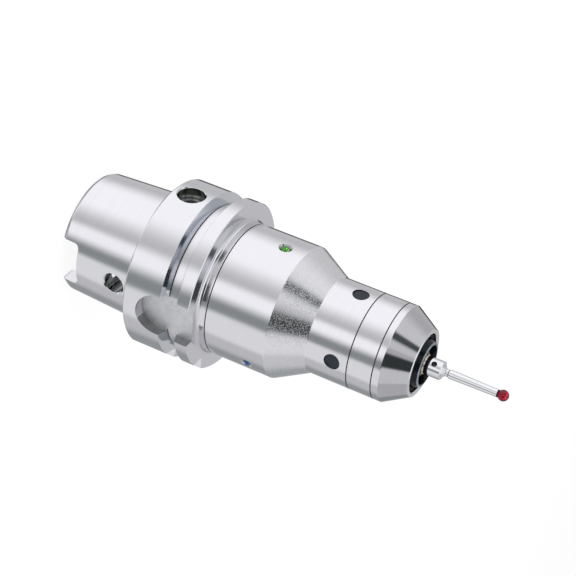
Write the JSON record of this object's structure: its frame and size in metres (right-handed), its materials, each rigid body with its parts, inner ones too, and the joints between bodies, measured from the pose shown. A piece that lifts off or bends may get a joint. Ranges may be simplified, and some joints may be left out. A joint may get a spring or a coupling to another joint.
{
  "type": "three-dimensional edge finder",
  "caption": "Spindle edge finder with a hollow taper shank, grooved flange, stepped steel housing, signal lamps, rubber diaphragm and a ball stylus that tilts and pushes in.",
  "frame": {"origin": "centre of the shank's end face, on the tool axis, on which it stands", "axes": "+Z along the tool axis towards the ball; the drive slots and keyways lie along Y and the green lamp and chip hole face -X"},
  "size_m": [0.063, 0.063, 0.1653],
  "materials": {
    "ground_steel": "fine ground and turned",
    "polished_steel": "polished",
    "dark_plug": "matt blue-black",
    "rubber": "satin black",
    "carrier_plastic": "moulded",
    "board": "green resist",
    "green_lens": "clear green",
    "blue_lens": "clear blue",
    "red_lens": "clear red",
    "cell_sleeve": "printed sleeve",
    "contact_metal": "plated",
    "spring_steel": "drawn wire",
    "ruby": "polished ruby"
  },
  "bodies": {
    "case": {"shank_body": "ground_steel", "main_housing": "ground_steel", "front_ring": "ground_steel", "nose_cap": "ground_steel", "housing_seal": "rubber", "cap_seal": "rubber", "green_lamp": "green_lens", "blue_lamp": "blue_lens", "red_lamp": "red_lens", "lamp_board": "board", "battery_holder": "carrier_plastic", "left_cell": "cell_sleeve", "right_cell": "cell_sleeve", "base_contacts": "contact_metal", "cell_bridge": "contact_metal", "battery_cover": "carrier_plastic", "lead_pin": "contact_metal", "screw_plugs": "dark_plug", "centring_screws": "spring_steel", "sensor_insert": "carrier_plastic", "preload_plug": "ground_steel", "contact_leaves": "contact_metal", "contact_ring": "carrier_plastic", "diaphragm": "rubber", "clamp_ring": "polished_steel", "push_spring": "spring_steel"},
    "slider": {"slide_sleeve": "polished_steel", "sleeve_pins": "polished_steel", "centring_spring": "spring_steel"},
    "gimbal": {"gimbal_ring": "polished_steel"},
    "stylus": {"stylus_holder": "polished_steel", "holder_pins": "polished_steel", "contact_disc": "contact_metal", "diaphragm_collar": "polished_steel", "stylus_hub": "polished_steel", "stylus_stem": "polished_steel", "ruby_ball": "ruby"}
  },
  "joints": [
    {"name": "stylus_push", "type": "slide", "parent": "case", "child": "slider", "axis": [0, 0, -1], "range_m": [0, 0.0035], "stiffness_N_per_m": 1500, "springref_m": -0.003, "deforming": ["push_spring", "diaphragm", "contact_leaves"]},
    {"name": "stylus_tilt_x", "type": "hinge", "parent": "slider", "child": "gimbal", "pos_m": [0, 0, 0.117], "axis": [1, 0, 0], "range_deg": [-6, 6], "stiffness_Nm_per_rad": 0.6},
    {"name": "stylus_tilt_y", "type": "hinge", "parent": "gimbal", "child": "stylus", "pos_m": [0, 0, 0.117], "axis": [0, 1, 0], "range_deg": [-6, 6], "stiffness_Nm_per_rad": 0.6, "deforming": ["centring_spring"]}
  ]
}
